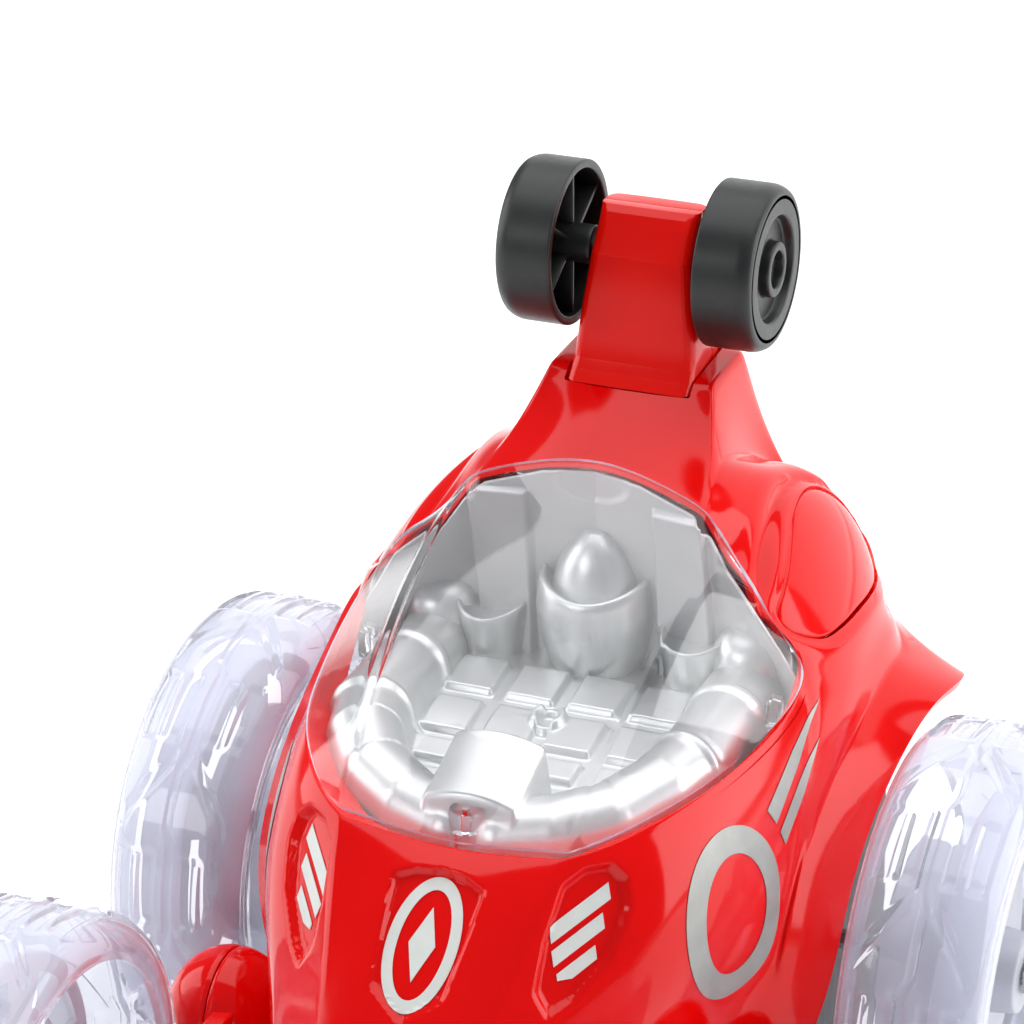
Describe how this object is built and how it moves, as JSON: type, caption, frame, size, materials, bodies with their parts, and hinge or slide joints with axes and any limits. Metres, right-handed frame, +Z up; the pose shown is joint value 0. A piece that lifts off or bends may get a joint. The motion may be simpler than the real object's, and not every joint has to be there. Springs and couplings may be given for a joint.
{
  "type": "radio-controlled stunt car",
  "caption": "Red stunt car with clear drive wheels, clear swing-arm front wheels, a canopy over a silver cockpit and a tail arm with small black roll-over wheels.",
  "frame": {"origin": "centre of the footprint, on the floor that the wheels stand on", "axes": "+Z up; the car faces -Y, so +X is its left side; the plane x = 0 is its plane of symmetry"},
  "size_m": [0.2156, 0.2406, 0.2329],
  "materials": {
    "red_shell": "glossy",
    "clear_plastic": "clear, glossy, faint violet edges",
    "frosted_plastic": "translucent, satin",
    "black_plastic": "satin",
    "silver_tray": "satin silver paint",
    "white_print": "satin print",
    "grey_print": "satin print",
    "steel": "plain",
    "gear_plastic": "plain",
    "battery_wrap": "shrink film",
    "board": "solder mask"
  },
  "bodies": {
    "car_body": {"body_shell": "red_shell", "arm_front": "red_shell", "arm_rear": "red_shell", "shoulder_pod_left": "red_shell", "shoulder_pod_right": "red_shell", "canopy": "clear_plastic", "chassis_tub": "black_plastic", "gearbox_case_left": "black_plastic", "gearbox_case_right": "black_plastic", "gearbox_cover_left": "black_plastic", "gearbox_cover_right": "black_plastic", "cockpit_tray": "silver_tray", "hood_emblem": "white_print", "wing_badge_left": "white_print", "wing_badge_right": "white_print", "side_decal_left": "grey_print", "side_decal_right": "grey_print", "arm_axle": "steel", "swing_arm_pin_left": "steel", "swing_arm_pin_right": "steel", "motor_left": "steel", "motor_right": "steel", "chassis_screw_1": "steel", "chassis_screw_2": "steel", "chassis_screw_3": "steel", "chassis_screw_4": "steel", "battery_pack": "battery_wrap", "circuit_board": "board", "wheel_light_left": "board", "wheel_light_right": "board"},
    "rear_wheel_left": {"rear_wheel_shell_left": "clear_plastic", "rear_wheel_hub_left": "frosted_plastic", "axle_nut_left": "steel", "rear_axle_left": "steel", "drive_gear_left": "gear_plastic"},
    "reduction_left": {"reduction_gear_left": "gear_plastic"},
    "motor_rotor_left": {"motor_shaft_left": "steel"},
    "front_arm_left": {"swing_arm_left": "red_shell", "swing_arm_cap_left": "red_shell", "front_axle_left": "steel"},
    "front_wheel_left": {"front_wheel_shell_left": "clear_plastic", "front_wheel_hub_left": "frosted_plastic"},
    "tail_wheel_left": {"arm_wheel_left": "black_plastic"},
    "rear_wheel_right": {"rear_wheel_shell_right": "clear_plastic", "rear_wheel_hub_right": "frosted_plastic", "axle_nut_right": "steel", "rear_axle_right": "steel", "drive_gear_right": "gear_plastic"},
    "reduction_right": {"reduction_gear_right": "gear_plastic"},
    "motor_rotor_right": {"motor_shaft_right": "steel"},
    "front_arm_right": {"swing_arm_right": "red_shell", "swing_arm_cap_right": "red_shell", "front_axle_right": "steel"},
    "front_wheel_right": {"front_wheel_shell_right": "clear_plastic", "front_wheel_hub_right": "frosted_plastic"},
    "tail_wheel_right": {"arm_wheel_right": "black_plastic"},
    "switch": {"power_switch": "black_plastic"},
    "battery_hatch": {"battery_door": "black_plastic"}
  },
  "joints": [
    {"name": "rear_wheel_left_spin", "type": "hinge", "parent": "car_body", "child": "rear_wheel_left", "pos_m": [0.09, 0.06275, 0.0575], "axis": [1, 0, 0], "continuous": true},
    {"name": "reduction_left_spin", "type": "hinge", "parent": "car_body", "child": "reduction_left", "pos_m": [0.045, 0.04527, 0.06386], "axis": [1, 0, 0], "continuous": true},
    {"name": "motor_left_spin", "type": "hinge", "parent": "car_body", "child": "motor_rotor_left", "pos_m": [0.03, 0.03277, 0.06841], "axis": [1, 0, 0], "continuous": true},
    {"name": "front_arm_left_swing", "type": "hinge", "parent": "car_body", "child": "front_arm_left", "pos_m": [0.0667, -0.00795, 0.05], "axis": [1, 0, 0], "range_deg": [0, 20]},
    {"name": "front_wheel_left_spin", "type": "hinge", "parent": "front_arm_left", "child": "front_wheel_left", "pos_m": [0.0885, -0.07025, 0.05], "axis": [1, 0, 0], "continuous": true},
    {"name": "tail_wheel_left_spin", "type": "hinge", "parent": "car_body", "child": "tail_wheel_left", "pos_m": [0.024, 0.08705, 0.2134], "axis": [1, 0, 0], "continuous": true},
    {"name": "rear_wheel_right_spin", "type": "hinge", "parent": "car_body", "child": "rear_wheel_right", "pos_m": [-0.09, 0.06275, 0.0575], "axis": [1, 0, 0], "continuous": true},
    {"name": "reduction_right_spin", "type": "hinge", "parent": "car_body", "child": "reduction_right", "pos_m": [-0.045, 0.04527, 0.06386], "axis": [1, 0, 0], "continuous": true},
    {"name": "motor_right_spin", "type": "hinge", "parent": "car_body", "child": "motor_rotor_right", "pos_m": [-0.03, 0.03277, 0.06841], "axis": [1, 0, 0], "continuous": true},
    {"name": "front_arm_right_swing", "type": "hinge", "parent": "car_body", "child": "front_arm_right", "pos_m": [-0.0667, -0.00795, 0.05], "axis": [1, 0, 0], "range_deg": [0, 20]},
    {"name": "front_wheel_right_spin", "type": "hinge", "parent": "front_arm_right", "child": "front_wheel_right", "pos_m": [-0.0885, -0.07025, 0.05], "axis": [1, 0, 0], "continuous": true},
    {"name": "tail_wheel_right_spin", "type": "hinge", "parent": "car_body", "child": "tail_wheel_right", "pos_m": [-0.024, 0.08705, 0.2134], "axis": [1, 0, 0], "continuous": true},
    {"name": "power_switch_slide", "type": "slide", "parent": "car_body", "child": "switch", "axis": [1, 0, 0], "range_m": [0, 0.005]},
    {"name": "battery_door_hinge", "type": "hinge", "parent": "car_body", "child": "battery_hatch", "pos_m": [0, -0.05395, 0.02], "axis": [1, 0, 0], "range_deg": [-95, 0]}
  ],
  "couplings": [
    {"joint": "reduction_left_spin", "follows": "rear_wheel_left_spin", "ratio": -3.1111},
    {"joint": "motor_left_spin", "follows": "rear_wheel_left_spin", "ratio": 8.2963},
    {"joint": "reduction_right_spin", "follows": "rear_wheel_right_spin", "ratio": -3.1111},
    {"joint": "motor_right_spin", "follows": "rear_wheel_right_spin", "ratio": 8.2963}
  ]
}
